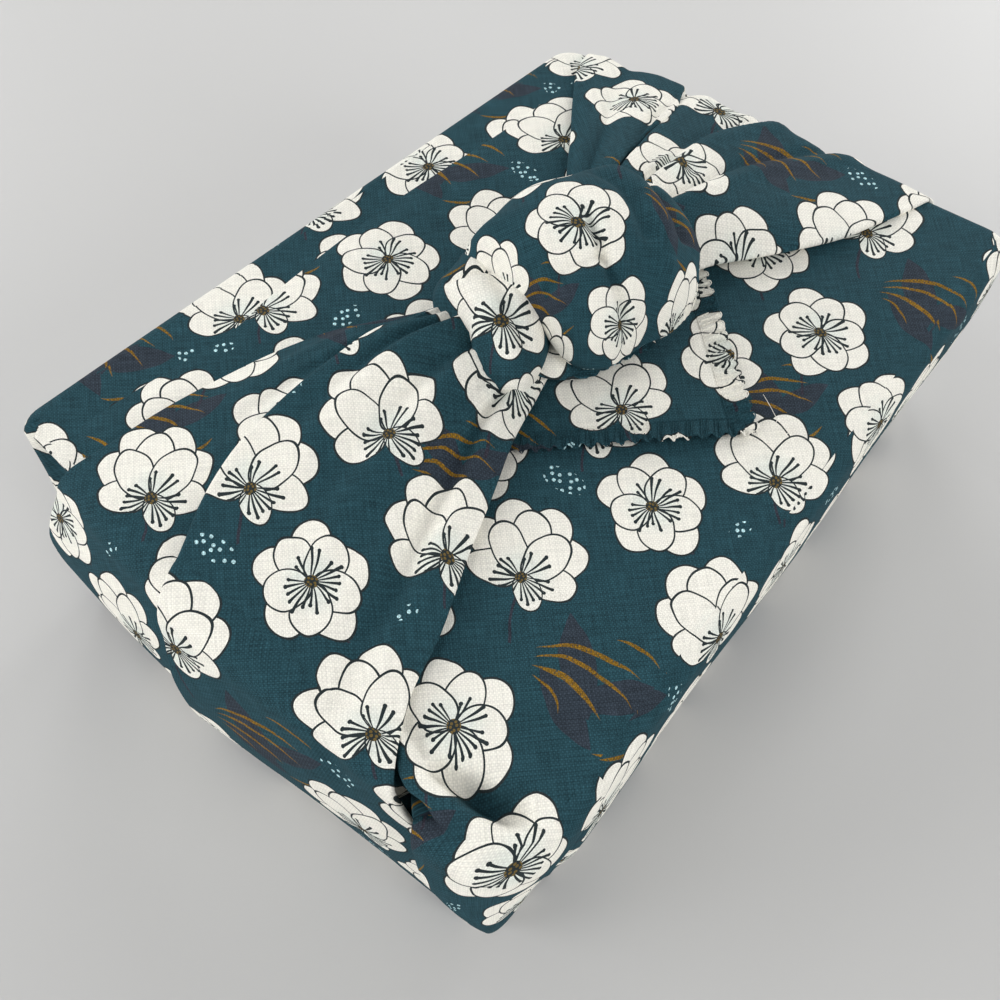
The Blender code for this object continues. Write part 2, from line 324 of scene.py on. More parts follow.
# %% Corner folds
CORNER_RELIEF = [
    # line over the top, deep, wide outside, wide inside
    ([(-115.5, -45), (-117.5, -54), (-119.5, -62)], -1.7, 1.6, 3),
    ([(-118.4, -57), (-117.9, -64), (-117.3, -71), (-116.2, -77), (-113, -81.5)], -8, 2.4, 4.2),
    ([(-122.6, -50), (-123, -64), (-121.6, -80)], 1.3, 2.4, 2.4),
    ([(-113, -52), (-111, -62), (-108, -70)], 1.3, 5, 7),
]
LIP_ROWS = [
    # y, x of the rolled edge
    (-85,   -108),   (-83,   -113.5), (-80,   -118),   (-76,   -121.5),
    (-73,   -124),   (-70,   -126.4), (-66.5, -126.3), (-62,   -125.3),
    (-58,   -125.5), (-54,   -124),   (-50,   -121),   (-46,   -117.5),
    (-40,   -113),
]
DRAPE_TOP = [
    # share, x, y, z
    (0.00, -98,    -85.8, 80),
    (0.25, -110,   -86,   80.3),
    (0.45, -117.5, -84.2, 80.5),
    (0.62, -121.8, -80.2, 80.8),
    (0.76, -124.4, -75.6, 80.8),
    (0.88, -126.8, -70.8, 80.3),
    (0.95, -128.2, -66.6, 78.4),
    (1.00, -129,   -62.6, 76.2),
]
DRAPE_ROWS = [
    # down, wall side x y z, corner pull x y z, free edge x y z
    (9,  -98, -89.2, 74.5, -134,   -92.8, 75,   -132.4, -64.6, 67),
    (18, -98, -88.9, 66.5, -135,   -93.2, 66.5, -133.6, -67.5, 58),
    (30, -98, -88.4, 55,   -135,   -92.7, 55,   -133.6, -72.5, 50),
    (40, -98, -87.6, 44,   -134.4, -91.7, 46,   -132.6, -77.5, 44),
    (52, -98, -86.6, 31,   -133.2, -90.2, 34,   -130.6, -82.5, 35),
    (66, -98, -85.2, 16,   -131,   -88.4, 18,   -128.2, -84.8, 18),
    (79, -98, -84,   2,    -127,   -85,   2,    -124.8, -82.6, 2),
]
DRAPE_CURL = [(0.35, 0.55, 0.0), (1.1, 0.85, -0.2), (2.2, 0.5, -0.3), (6.0, -1.5, -0.5)]
DRAPE_TURN = 0.693


def corner_relief(x, y):
    z = 0.0
    for line, deep, outside, inside in CORNER_RELIEF:
        away, side, along = beside(x, y, line)
        ends = np.sin(math.pi * np.clip(along, 0.0, 1.0)) ** 0.7
        z = z + deep * bell(away, np.where(side < 0, outside, inside)) * ends
    return z


def roll_under(at, high, radius, sign, under, steps, slope):
    """A rolled edge: half a turn down, then a short way back under the cloth."""
    a, back = np.linspace(0, math.pi, steps)[1:], np.linspace(0, under, 4)[1:]
    return (np.hstack([at + sign * radius * np.sin(a), at - sign * back]),
            np.hstack([high - radius * (1 - np.cos(a)), high - 2 * radius - slope * back]))


def build_lip():
    """The corner of the top panel, rolled over its edge and turned under."""
    y = np.linspace(-84.6, -41.0, 92)[:, None]
    edge, = columns(LIP_ROWS, y)
    roll = 1.7 + 0.5 * np.sin(y * 0.35)
    edge = edge + roll
    x = -100.0 + (edge + 100.0) * np.linspace(0, 1, 60) ** 0.8
    fade = smooth01((-100.5 - x) / 6.0) * smooth01((-41.5 - y) / 5.0)
    z = HEIGHT - 0.15 + 0.3 * fade + top_relief(x, y) + corner_relief(x, y) * fade
    steps, under = 12, 2.4
    rolled_x, rolled_z = roll_under(edge, z[:, -1:], roll, -1.0, under, steps, 1.5)
    turn, back = np.linspace(0, math.pi, steps)[1:], np.linspace(0, under, 4)[1:]
    run = np.hstack([x, edge - roll * turn, edge - roll * math.pi - back])
    points = xyz(np.hstack([x, rolled_x]), y, np.hstack([z, rolled_z]))
    add_layer("corner_lip", points, print_place(run, y))


def bow(t, start, pull, end):
    """A curve from start to end, drawn towards pull."""
    return (1 - t) ** 2 * start + 2 * t * (1 - t) * pull + t**2 * end


def build_drape():
    """The fold that hangs round the corner. It comes out of the top panel,
    bends over the edge and runs down the wall."""
    share = np.linspace(0, 1, 64)
    start = xyz(*columns(DRAPE_TOP, share))[None]
    down = np.concatenate([np.linspace(9, 20, 16), np.linspace(21.5, 79, 52)])[:, None]
    sides = columns(DRAPE_ROWS, down)
    hang = bow(share[:, None], *(xyz(*sides[k:k + 3]) for k in (0, 3, 6)))
    t = np.linspace(0, 1, 16)[:-1, None, None]
    bend = bow(t, start, hang[:1] * [1, 1, 0] + start * [0, 0, 1], hang[:1])
    back = np.linspace(9.0, 0.6, 14)[:, None]
    turn = DRAPE_TURN * smooth01(share / 0.45)
    inland = (np.sin(turn), np.cos(turn))
    x, y = (start[..., k] + inland[k] * back for k in (0, 1))
    tucked = smooth01((share - 0.84) / 0.12)
    z = start[..., 2] - 0.11 * back - 7.0 * tucked * smooth01(back / 9.0)
    z = z + (top_relief(x, y) + corner_relief(x, y) * (1 - tucked)) * smooth01(back / 3.0)
    points = np.concatenate([xyz(x, y, z), bend, hang])
    down = np.concatenate([-back, 9.0 * t[..., 0], down])
    fold = np.sin(down / 10.0 + 4.0 * share) * smooth01(down / 16.0) * np.sin(math.pi * share)
    points += fold[..., None] * [-0.56, -0.56, 0.0]
    points = np.hstack([points, points[:, -1:] + DRAPE_CURL])
    held = np.minimum(np.arange(points.shape[1]), len(share) - 1)
    places = (start[:, held, k] - inland[k][held] * down for k in (0, 1))
    add_layer("corner_drape", points, print_place(*places))


build_lip()
build_drape()

# %% [markdown]
# ## The flap
#
# The far corner of the square is laid over the top. Its two hems meet at a
# right angle, so its grid is set square to them: one axis along each hem.
# At the back it sinks into the stretched cloth that it comes from.

# %% Flap
FLAP_TIP, FLAP_SHIFT = (1.0, -66.0), (17.0, 31.0)
FLAP_LIFT, HEM_WIDTH = 1.3, 7.0


def flap_height(x, y):
    """Height of the flap over the box top; at the back it sinks into it."""
    slow = 0.35 * np.sin(0.07 * x - 0.05 * y) * smooth01((60 - y) / 30)
    sink = (FLAP_LIFT + 1.6) * smooth01((y - 62.0) / 22.0)
    return FLAP_LIFT + slow - sink - 2.0 * smooth01((np.abs(x) - 112.0) / 10.0)


def flap_point(i, j):
    """i and j are the distances from the left and from the right hem."""
    return FLAP_TIP[0] + (i - j) * GRAIN, FLAP_TIP[1] + (i + j) * GRAIN


def build_flap():
    steps = np.linspace(HEM_WIDTH, 212, 88)
    x, y = flap_point(*np.meshgrid(steps, steps))
    points = xyz(x, y, HEIGHT + flap_height(x, y))
    points[(np.abs(x) > 121.5) | (y > 84.5)] = np.nan
    add_layer("flap", points, print_place(x, y, FLAP_SHIFT))


# %% [markdown]
# The hems are overlocked, and the stitches stretch the edge, so it waves.
# Each hem is its own band of fine quads. Its outer edge swings up and down,
# its inner edge lies exactly on the flap.

# %% Hem bands
SCALLOP = 3.7
LEFT, RIGHT = -1, 1


def hem_point(side, along, depth):
    """A point of a hem: along it, and depth from 0 at the cut edge inwards."""
    x, y = flap_point(depth, along) if side == LEFT else flap_point(along, depth)
    share = 1.0 - depth / HEM_WIDTH
    curl = 0.8 * share**2 if side == LEFT else 1.3 * share**1.5
    at = along + (0 if side == LEFT else 1.7)
    beat = at / SCALLOP * 2 * math.pi + 0.8 * np.sin(at * 0.23)
    lift = (0.45 + 0.2 * np.sin(at * 0.17 + 1.0)) * share**2 * np.sin(beat)
    swing = 0.6 * share**2 * np.cos(beat) * GRAIN
    return xyz(x + side * swing, y - swing, HEIGHT + flap_height(x, y) + lift + curl), x, y


def build_hems():
    grid = np.meshgrid(np.linspace(0.3, 150, 260), np.linspace(0, HEM_WIDTH, 9))
    for name, side in (("hem_left", LEFT), ("hem_right", RIGHT)):
        points, x, y = hem_point(side, *grid)
        add_layer(name, points, print_place(x, y, FLAP_SHIFT))


build_flap()
build_hems()

# %% [markdown]
# ## The ties
#
# The two end corners climb the short walls and run over the top to the knot.
# A tie is drawn on an unrolled sheet: `u` is the distance from the top edge
# of the wall, below zero on the wall and above zero over the top. `far` and
# `near` are its folded edges, `pleat` the line where one half laps over the
# other, and the last three columns say how high the edges and the middle lie.

# %% Tie tables
TIE_LEFT = [
    # u, far, pleat, near, lift_f, lift_n, arch
    (-77, 86,   10,   -80,   6,   0.8, 1),
    (-60, 84,   10,   -76,   8.6, 1.2, 2.6),
    (-40, 80,   10,   -69,   9.6, 1.4, 4.4),
    (-20, 71,   11,   -61,   6.6, 1.4, 4.6),
    (-7,  65,   12,   -56,   2.6, 1.6, 3.4),
    (0,   62,   13.5, -53.5, 1.8, 1.8, 2.8),
    (7,   60.5, 17,   -49,   2.2, 2.3, 3),
    (16,  59,   22,   -44,   2.8, 2.8, 3.4),
    (30,  57,   27,   -39.5, 3.6, 3.2, 4.4),
    (50,  53,   29,   -31,   4,   3.8, 6.2),
    (68,  48,   28,   -24,   4.2, 4.2, 8.2),
    (84,  41,   26,   -17.5, 4.4, 4.4, 9.6),
    (98,  31,   22,   -13.5, 4.4, 4,   8.8),
    (112, 26,   18,   -9.5,  3,   3,   6),
    (125, 20,   13,   -9,    2,   2,   4),
]
TIE_RIGHT = [
    # u, far, pleat, near, lift_f, lift_n, arch
    (-77, 83,   40,   -83,   0.6, 0.6, 0.4),
    (-60, 82,   40,   -80,   1,   0.9, 2.2),
    (-40, 80,   39.5, -74,   1.4, 1.1, 3.4),
    (-20, 79,   39,   -67,   1.4, 1.2, 3),
    (-7,  77.5, 38.5, -62,   1,   1.4, 1.2),
    (0,   76.5, 37.5, -59.5, 1,   1.6, 1),
    (7,   75,   35,   -57.5, 1.6, 2,   1.4),
    (16,  71.5, 31,   -54.5, 2.2, 2.4, 2.2),
    (28,  64,   27.5, -50,   3.2, 3,   4),
    (42,  55,   25.5, -44.5, 4.2, 4,   6),
    (56,  45.5, 24,   -37,   5.2, 5,   8),
    (68,  38,   21,   -29.5, 6,   5.6, 9.6),
    (80,  30,   16,   -22,   6.6, 6.4, 9.6),
    (94,  22,   10,   -16,   6,   6,   6),
]

# %% [markdown]
# Gathering cloth throws it into ridges that run into the knot. Each row of
# these tables is one ridge or furrow: where it is across the tie, how wide
# and how high at the knot, where it starts, and how it drifts sideways on
# the way.

# %% Ridges of the ties
RIDGES_LEFT = [
    # at, wide, up, from_u, drift
    (0.1,  0.03,  0.9,  40,  0.00),  (0.2,  0.035, -2,   30,  0.03),
    (0.36, 0.032, -3,   55,  -0.02), (0.44, 0.045, 1.8,  40,  -0.04),
    (0.56, 0.05,  -2.4, 25,  0.02),  (0.64, 0.03,  0.9,  30,  0.03),
    (0.73, 0.036, -2,   10,  0.04),  (0.85, 0.045, -3.8, -15, 0.01),
    (0.93, 0.035, 1.2,  0,   0.00),
]
RIDGES_RIGHT = [
    # at, wide, up, from_u, drift
    (0.05,  0.03,  1.2,  -18, 0.00),  (0.13,  0.028, -1.8, -18, 0.00),
    (0.22,  0.035, 1.4,  -4,  -0.03), (0.32,  0.022, -2.8, -12, -0.05),
    (0.38,  0.03,  2,    -12, -0.08), (0.47,  0.03,  -1.2, -12, -0.08),
    (0.53,  0.024, 1.6,  -12, -0.12), (0.585, 0.02,  -2.8, -32, -0.15),
    (0.64,  0.03,  1.9,  -32, -0.16), (0.72,  0.03,  -1,   -20, -0.17),
    (0.79,  0.02,  -2.4, -30, -0.19), (0.85,  0.03,  1.4,  -30, -0.18),
]
TIES = {LEFT: (TIE_LEFT, RIDGES_LEFT), RIGHT: (TIE_RIGHT, RIDGES_RIGHT)}


# %% Lay a tie on the box
def corner_turn(y):
    """How far a round corner of the plan falls back from the short wall."""
    past = np.maximum(np.abs(y) - (HALF_Y - 12.0), 0.0)
    return 12.0 - np.sqrt(np.maximum(144.0 - past**2, 1.0))


def lay(u, y, h, side):
    """Bend the unrolled sheet over the top edge of a short wall."""
    a = (np.clip(u, -EDGE_R, EDGE_R) + EDGE_R) / (2 * EDGE_R) * math.pi / 2
    on_wall, on_top = np.minimum(u + EDGE_R, 0.0), np.maximum(u - EDGE_R, 0.0)
    x = HALF_X - EDGE_R + (EDGE_R + h) * np.cos(a) - on_top
    z = HEIGHT - EDGE_R + (EDGE_R + h) * np.sin(a) + on_wall
    return xyz(side * (x - corner_turn(y) * smooth01(-on_wall / 12.0)), y, z)


def tie_face(side, u, t):
    """Y and height of the smooth upper face at the share t of the width."""
    rows, ridges = TIES[side]
    far, _, near, lift_far, lift_near, arch = columns(rows, u)
    h = lift_far + (lift_near - lift_far) * t + arch * (1.0 - np.abs(2 * t - 1) ** 2.4)
    for at, wide, up, start, drift in ridges:
        grow = smooth01((u - start + 30.0) / 90.0)
        h = h + up * grow * bell(t - at - drift * smooth01((u - start) / 80.0), wide)
    return far + (near - far) * t, h


def tie_layer(name, side, span, lap, rolls, shift, under=9.0, count=70):
    """One half of a tie. span turns the pleat's share of the width into the
    first and last share of the half, lap is how much higher it lies, and
    rolls are the edges that turn under like a fold: 1 first, -1 last."""
    rows = TIES[side][0]
    u = np.concatenate([[-79.7, -79.0, -78.0], np.linspace(-77, -8, 24), np.linspace(-6, 8, 13),
                        np.linspace(10, rows[-1][0], 54)])[:, None]
    far, pleat, near = columns(rows, u)[:3]
    first, last = span((far - pleat) / (far - near))
    share = 0.5 - 0.5 * np.cos(np.linspace(0, math.pi, count))
    y, h = tie_face(side, u, first + (last - first) * share)
    h = (h + lap(u, share) + 1.5) * smooth01((u + 80.0) / 4.0) - 1.5
    for sign in rolls:
        end = [0] if sign > 0 else [-1]
        radius = np.clip(0.42 * h[:, end], 0.3, 1.5)
        rolled = roll_under(y[:, end], h[:, end], radius, sign, under, 9, 0.02)
        y, h = (np.hstack([r[:, ::-1], face] if sign > 0 else [face, r])
                for face, r in zip((y, h), rolled))
    points = lay(u, y, h, side)
    points[..., 2] += 0.5 * ripple(points, (60.0, 18.0, 40.0), side * 3.7)
    place = print_place(side * (HALF_X - np.maximum(u, EDGE_R)), y, shift)
    run = np.linalg.norm(np.diff(points, axis=0, prepend=points[:1]), axis=-1).cumsum(axis=0)
    down = np.minimum(run - run[np.argmax(u > EDGE_R)], 0.0) * -side
    add_layer(name, points, place + down[..., None] * [0.5, 0.85])


# %% Left and right ties
tie_layer("left_tie_back", LEFT, lambda pleat: (0.0, pleat + 0.12),
          lambda u, s: 0.0, [1], (52.0, -14.0))
tie_layer("left_tie_front", LEFT, lambda pleat: (pleat, 1.0),
          lambda u, s: 2.6 * (1 - s) ** 3 + 0.4, [1, -1], (-28.0, 9.0))
tie_layer("right_tie_front", RIGHT, lambda pleat: (pleat - 0.10, 1.0),
          lambda u, s: 0.0, [-1], (36.0, 44.0), count=104)
tie_layer("right_tie_back", RIGHT, lambda pleat: (0.0, pleat),
          lambda u, s: (1.0 + 1.2 * smooth01(u / 40.0)) * s**3 + 0.4, [1, -1], (-20.0, 60.0), under=2.5)

# %% [markdown]
# ## The knot
#
# Two pads of cloth make the knot. The band is the left tie's throat, which
# dips under the bun, the right tie's end. Both are made by one function: an
# outline of radii round a middle, a soft dome, and a rim that curls under or
# ends as a free cut edge.

# %% Knot tables
BAND_OUTLINE = [
    # angle, radius, rim_z; the curl is 1 all round
    (-180, 8.6, 93.5),  (-171, 9.9, 92),    (-150, 16.9, 89),   (-136, 20.6, 87),
    (-118, 23.2, 85.5), (-106, 20.8, 85.5), (-84, 18, 86),      (-54, 17, 90),
    (-27, 18, 90),      (6, 19, 90),        (32, 23, 91),       (50, 25, 92),
    (73, 19.6, 93),     (106, 17.3, 91),    (121, 12.6, 93),    (157, 8.4, 94.5),
    (180, 8.6, 93.5),
]
BAND_CREASES = [
    # line in plan, deep, wide, skew
    ([(-3, 27), (-13, 14), (-21, 2), (-27, -11)], -1.4, 2.4, 0.3),
    ([(-24, 22), (-20, 17), (-13, 13)], -1.6, 1.6, 0.5),
    ([(-33, -2), (-26, 4), (-18, 4)], 0.5, 3, 0),
]
BUN_OUTLINE = [
    # angle, radius, rim_z, curl
    (-180, 24.5, 97.5, 1),   (-161, 26.5, 95,   1),   (-146, 31,   91,   0.8),
    (-132, 32.6, 89.5, 0.3), (-118, 30.4, 89,   0.1), (-105, 29,   89,   0),
    (-83,  31.4, 89,   0),   (-72,  32.8, 90,   0),   (-60,  33.6, 91.5, 0.1),
    (-45,  33.2, 93,   0.6), (-22,  33.2, 94,   1),   (0,    34,   94,   1),
    (17,   33,   94,   1),   (52,   27,   93,   1),   (92,   27.5, 92,   1),
    (114,  29,   92.5, 1),   (130,  32,   94,   1),   (152,  26.5, 97,   1),
    (180,  24.5, 97.5, 1),
]
BUN_CREASES = [
    # line in plan, deep, wide, skew
    ([(8, 0), (3, -7), (-2, -15), (-6, -27)], -2.6, 1.8, 0.6),
    ([(15, 3), (9, -6), (3, -15), (-1, -26)], 0.5, 3.4, 0),
    ([(34, 14), (30, -2), (20, -17), (9, -28)], 1.6, 3.4, 0),
    ([(38, 8), (34, -8), (22, -24)], -2.8, 2.2, 0.4),
    ([(43, 4), (38, -11), (27, -27)], 1.2, 2.4, 0),
    ([(27, 12), (22, -4), (12, -20)], -1.9, 2.6, 0),
    ([(-16, -4), (-8, -8), (2, -14)], -1.7, 2, -0.4),
    ([(-14, 18), (-2, 10), (8, 2)], -0.5, 4, 0),
]
# middle, top height, outline, creases and seed of each pad
BAND = ((-20.0, 8.0), 104.0, BAND_OUTLINE, BAND_CREASES, 2.3)
BUN = ((9.0, 0.0), 117.5, BUN_OUTLINE, BUN_CREASES, 5.1)
BUN_SHIFT, BUN_REACH = (77.3, 92.4), 1.8


# %% Knot pads
def round_of(at, reach, angle):
    """The x and y of a point at a reach and an angle in degrees round a middle."""
    return at[0] + reach * np.cos(np.radians(angle)), at[1] + reach * np.sin(np.radians(angle))


def pad_shape(pad, angle, roll, low):
    """Points of a pad for angles (columns) and roll, then low (rows)."""
    at, top_z, outline, creases, seed = pad
    rim, rim_z, *curl = columns(outline, angle)
    curl = curl[0] if curl else np.ones_like(rim)
    a = roll * math.pi / 2
    rho = np.concatenate([np.sin(a) ** 0.92 + 0 * rim, 1 - (1 - np.cos(low)) * 0.36 * curl])
    z = np.concatenate([rim_z + (top_z - rim_z) * np.cos(a) ** 0.88,
                        rim_z - (8.0 * curl + 0.4) * np.sin(low)])
    x, y = round_of(at, rim * rho, angle)
    points = xyz(x, y, z)
    push = 0.7 * ripple(points, (13.0, 13.0, 18.0), seed)
    for line, deep, wide, skew in creases:
        away, side, along = beside(x, y, line)
        ends = smooth01(along / 0.2 + 0.05) * smooth01((1 - along) / 0.12 + 0.2)
        push += deep * bell(away, wide) * (1 + skew * side * np.clip(away / wide, 0, 1)) * ends
    out = points - [*at, top_z - 36.0]
    out /= np.linalg.norm(out, axis=-1, keepdims=True)
    return points + out * (push * smooth01((z - 82.0) / 6.0))[..., None], rim


def build_pad(name, pad, shift, reach):
    angle = np.linspace(-180, 180, 155)[None, :]
    roll = np.concatenate([np.linspace(0.0, 0.9, 44), np.linspace(0.92, 1.0, 14)])[:, None]
    low = np.linspace(0.0, 1.0, 12)[1:, None] * 1.15
    points, rim = pad_shape(pad, angle, roll, low)
    flat = np.concatenate([roll * reach * rim, (reach + 0.3 * low) * rim])
    add_layer(name, points, print_place(*round_of(pad[0], flat, angle), shift))


build_pad("knot_band", BAND, (24.0, -30.0), 1.4)
build_pad("knot_bun", BUN, BUN_SHIFT, BUN_REACH)

# %% [markdown]
# A short tail of the left tie looks out from under the bun. It lies on the
# flap and ends in an overlocked edge as well.

# %% Tail
TAIL_SHIFT, TAIL_WIDTH = (103.5, 65.8), 24.0
TAIL_ROWS = [
    # share, left_x, left_y, right_x, right_y, z
    (0,    -24, -4,    14,  -10, 87.5),
    (0.35, -23, -12,   13,  -20, 85.8),
    (0.7,  -19, -17,   11,  -25, 84.6),
    (1,    -14, -21.3, 8.5, -29, 84),
]


def tail_point(share, across):
    left_x, left_y, right_x, right_y, z = columns(TAIL_ROWS, share)
    x, y = left_x + (right_x - left_x) * across, left_y + (right_y - left_y) * across
    wave = 0.5 * np.sin(across * TAIL_WIDTH / SCALLOP * 2 * math.pi) * share**6
    return xyz(x, y, z + 1.2 * np.sin(math.pi * across) * (1 - 0.5 * share) + wave), x, y


points, x, y = tail_point(*np.meshgrid(np.linspace(0, 1, 28), np.linspace(0, 1, 48), indexing="ij"))
add_layer("tail", points, print_place(x, y, TAIL_SHIFT))

# %% [markdown]
# ## From grids to one mesh
#
# The grids are joined into a single mesh. Each keeps its own rim, on or just
# under its neighbours. The print coordinates go into a UV map.


# %% Join the layers
def mesh_object(name, verts, faces, places):
    """verts and places are in mm, with one place on the print for each point."""
    mesh = bpy.data.meshes.new(name)
    mesh.from_pydata((np.array(verts) * MM).tolist(), [], faces)
    loop_vert = np.zeros(len(mesh.loops), int)
    mesh.loops.foreach_get("vertex_index", loop_vert)
    layer = mesh.uv_layers.new(name="print")
    layer.data.foreach_set("uv", (np.array(places) * MM)[loop_vert].ravel())
    mesh.shade_smooth()
    mesh.validate()
    print(name, "has", len(mesh.polygons), "faces")
    return add_object(name, mesh)


def join_layers():
    verts, faces, places = [], [], []
    for points, place in cloth_parts:
        good = ~np.isnan(points[..., 2])
        index = np.full(good.shape, -1)
        index[good] = np.arange(good.sum()) + len(verts)
        verts.extend(points[good])
        places.extend(place[good])
        quads = np.stack([index[:-1, :-1], index[:-1, 1:], index[1:, 1:], index[1:, :-1]], axis=-1)
        faces.extend(quads[(quads >= 0).all(axis=-1)].tolist())
    return mesh_object("wrapped_cloth", verts, faces, places)


cloth = join_layers()

# %% [markdown]
# ## Overlock stitches
#
# An overlocker sews over the cut edge: threads zigzag between a line of needle
# stitches and the edge, where they lock in small loops. They are thin tubes
# along the waving hem. They take the print, as it was made after the hem.

# %% Stitch helpers
STITCH = 1.9
OVER_RADIUS, LOOP_RADIUS, NEEDLE_RADIUS, LOOSE_RADIUS = 0.15, 0.16, 0.13, 0.09
OVER_THREAD = [
    # share of a stitch, share of the depth, height over the cloth
    (0, 1, 0.05), (0.08, 0.8, 0.24), (0.2, 0.45, 0.27), (0.32, 0.12, 0.26),
    (0.42, -0.05, 0), (0.55, 0.1, -0.3), (0.75, 0.5, -0.4), (0.92, 0.9, -0.3),
]
thread_verts, thread_faces, thread_places = [], [], []


def add_tube(points, places, radius, sides=5):
    """A thin tube along a line of points, in mm."""
    ahead = np.gradient(points, axis=0)
    ahead /= np.linalg.norm(ahead, axis=1, keepdims=True) + 1e-9
    side = np.cross(ahead, [0.0, 0.0, 1.0])
    side /= np.linalg.norm(side, axis=1, keepdims=True) + 1e-9
    turn = 2 * math.pi * np.arange(sides)[:, None] / sides
    start = len(thread_verts)
    for p, s, o, place in zip(points, side, np.cross(side, ahead), places):
        thread_verts.extend(p + radius * (s * np.cos(turn) + o * np.sin(turn)))
        thread_places.extend([place] * sides)
    for first in range(start, len(thread_verts) - sides, sides):
        for k in range(sides):
            a, b = first + k, first + (k + 1) % sides
            thread_faces.append((a, b, b + sides, a + sides))


def overlock(edge_at, length, deep, shift):
    """edge_at(along, depth) gives points of the hem and their plan place."""
    def sew(along, depth, up, radius):
        points, x, y = edge_at(np.array(along), np.array(depth))
        points = settle(points)
        points[:, 2] += up
        add_tube(points, print_place(x, y, shift), radius)

    share, depth, up = np.array(OVER_THREAD).T
    beats = np.arange(0.5, length - STITCH, STITCH)[:, None]
    slip = 0.25 * np.sin(beats * 1.7) + 0.18 * np.sin(beats * 4.1)
    along = beats + slip + STITCH * (share + 0.5 * (1 - depth))
    sew(along.ravel(), np.tile(deep * depth, len(beats)), np.tile(up, len(beats)), OVER_RADIUS)
    steps = np.arange(0.5, length, 0.25)
    turn = steps / STITCH * 2 * math.pi
    sew(steps + 0.2 * np.sin(turn), 0.05 - 0.3 * np.cos(turn), 0.28 * np.sin(turn), LOOP_RADIUS)
    steps = np.arange(0.5, length, 0.45)
    sew(steps, 0 * steps + deep, 0.12 + 0.10 * np.sin(steps / 2.3 * 2 * math.pi), NEEDLE_RADIUS)


# %% Sew the edges
def bun_edge(along, depth):
    """The cut edge of the bun: along its lower right rim, depth inwards."""
    points, places = [], []
    for s, d in zip(along, depth):
        angle, roll = -92.0 + math.degrees(s / 33.0), 1.0 - max(d, 0.0) / 44.0
        p, rim = pad_shape(BUN, np.array([[angle]]), np.array([[roll]]), np.zeros((1, 1)))
        points.append(p[0, 0] + [0, 0, min(d, 0.0)])
        places.append(round_of(BUN[0], BUN_REACH * roll * rim[0, 0], angle))
    return np.array(points), *np.array(places).T


overlock(lambda s, d: hem_point(LEFT, s, d), 84.0, 6.2, FLAP_SHIFT)
overlock(lambda s, d: hem_point(RIGHT, s, d), 84.0, 6.2, FLAP_SHIFT)
overlock(lambda s, d: tail_point(1.0 - d / 17.0, s / TAIL_WIDTH), TAIL_WIDTH, 4.6, TAIL_SHIFT)
overlock(bun_edge, 30.0, 3.4, BUN_SHIFT)
LOOSE_ENDS = [
    # number, x, y and z of a few points of each loose thread end
    [(0, 2, -66, 82.3), (1, 7, -68, 82.6), (2, 11, -65, 81.4), (3, 15, -60, 80.8)],
    [(0, 1, -66.5, 82.3), (1, 4, -70, 82.4), (2, 7, -72, 81.2), (3, 10, -71.5, 80.8)],
]
for rows in LOOSE_ENDS:
    line = settle(xyz(*columns(rows, np.linspace(0, len(rows) - 1, 30))))
    add_tube(line, [(72.0, 77.0)] * len(line), LOOSE_RADIUS)
threads = mesh_object("overlock_threads", thread_verts, thread_faces, thread_places)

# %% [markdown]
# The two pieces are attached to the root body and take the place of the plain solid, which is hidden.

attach(cloth, "root")
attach(threads, "root")
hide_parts("furoshiki_cloth")

# %% [markdown]
# ## Writing shader nodes as formulas
#
# The print is drawn with arithmetic on the print coordinates. A wire is the
# output of a node. Each helper and each operator makes one more node, plugs
# its inputs and gives back its output, so a formula reads as it does on paper.
# `a | b` keeps the larger of two values, which joins two masks.


# %% Node helpers
class Wire:
    def __init__(self, socket):
        self.socket, self.tree = socket, socket.id_data

    def __rsub__(self, other):
        return calc("SUBTRACT", other, self)


def plug(value, socket):
    if isinstance(value, Wire):
        value.tree.links.new(value.socket, socket)
    elif value is not None:
        socket.default_value = value


def set_inputs(made, values):
    for label, value in values.items():
        plug(value, made.inputs[label])


def node(kind, *inputs, out=0, **settings):
    """A node in the tree of its first wire, with its inputs in their order."""
    tree = next(value.tree for value in inputs if isinstance(value, Wire))
    made = tree.nodes.new("ShaderNode" + kind)
    for key, value in settings.items():
        setattr(made, key, value)
    for value, socket in zip(inputs, made.inputs):
        plug(value, socket)
    return Wire(made.outputs[out])


def every(wire):
    """All the outputs of the node that a wire comes from."""
    return [Wire(socket) for socket in wire.socket.node.outputs]


def calc(operation, *inputs):
    return node("Math", *inputs, operation=operation)


def vcalc(operation, *inputs, out=0):
    return node("VectorMath", *inputs, operation=operation, out=out)


for sign, name in (("add", "ADD"), ("sub", "SUBTRACT"), ("mul", "MULTIPLY"), ("truediv", "DIVIDE"),
                   ("pow", "POWER"), ("lt", "LESS_THAN"), ("gt", "GREATER_THAN"), ("or", "MAXIMUM")):
    setattr(Wire, f"__{sign}__", lambda one, two, name=name: calc(name, one, two))


# The Mix node has a pair of inputs for each kind: how many to pass over, which output.
MIX_PLACES = {"FLOAT": (1, 0), "VECTOR": (3, 1), "RGBA": (5, 2)}


def blend(kind, factor, first, second, **settings):
    over, out = MIX_PLACES[kind]
    return node("Mix", factor, *[None] * over, first, second, out=out, data_type=kind, **settings)


def length_of(vector):
    return vcalc("LENGTH", vector, out=1)


def soft_step(value, low, high):
    return node("MapRange", value, low, high, interpolation_type="SMOOTHSTEP")


def uneven(vector, scale, detail, out=0):
    return node("TexNoise", vector, None, scale, detail, out=out, noise_dimensions="2D")


def cells(vector, scale, random):
    """Distance to the nearest of many scattered points."""
    return node("TexVoronoi", vector, None, scale, *[0.0] * 5, random, voronoi_dimensions="2D")


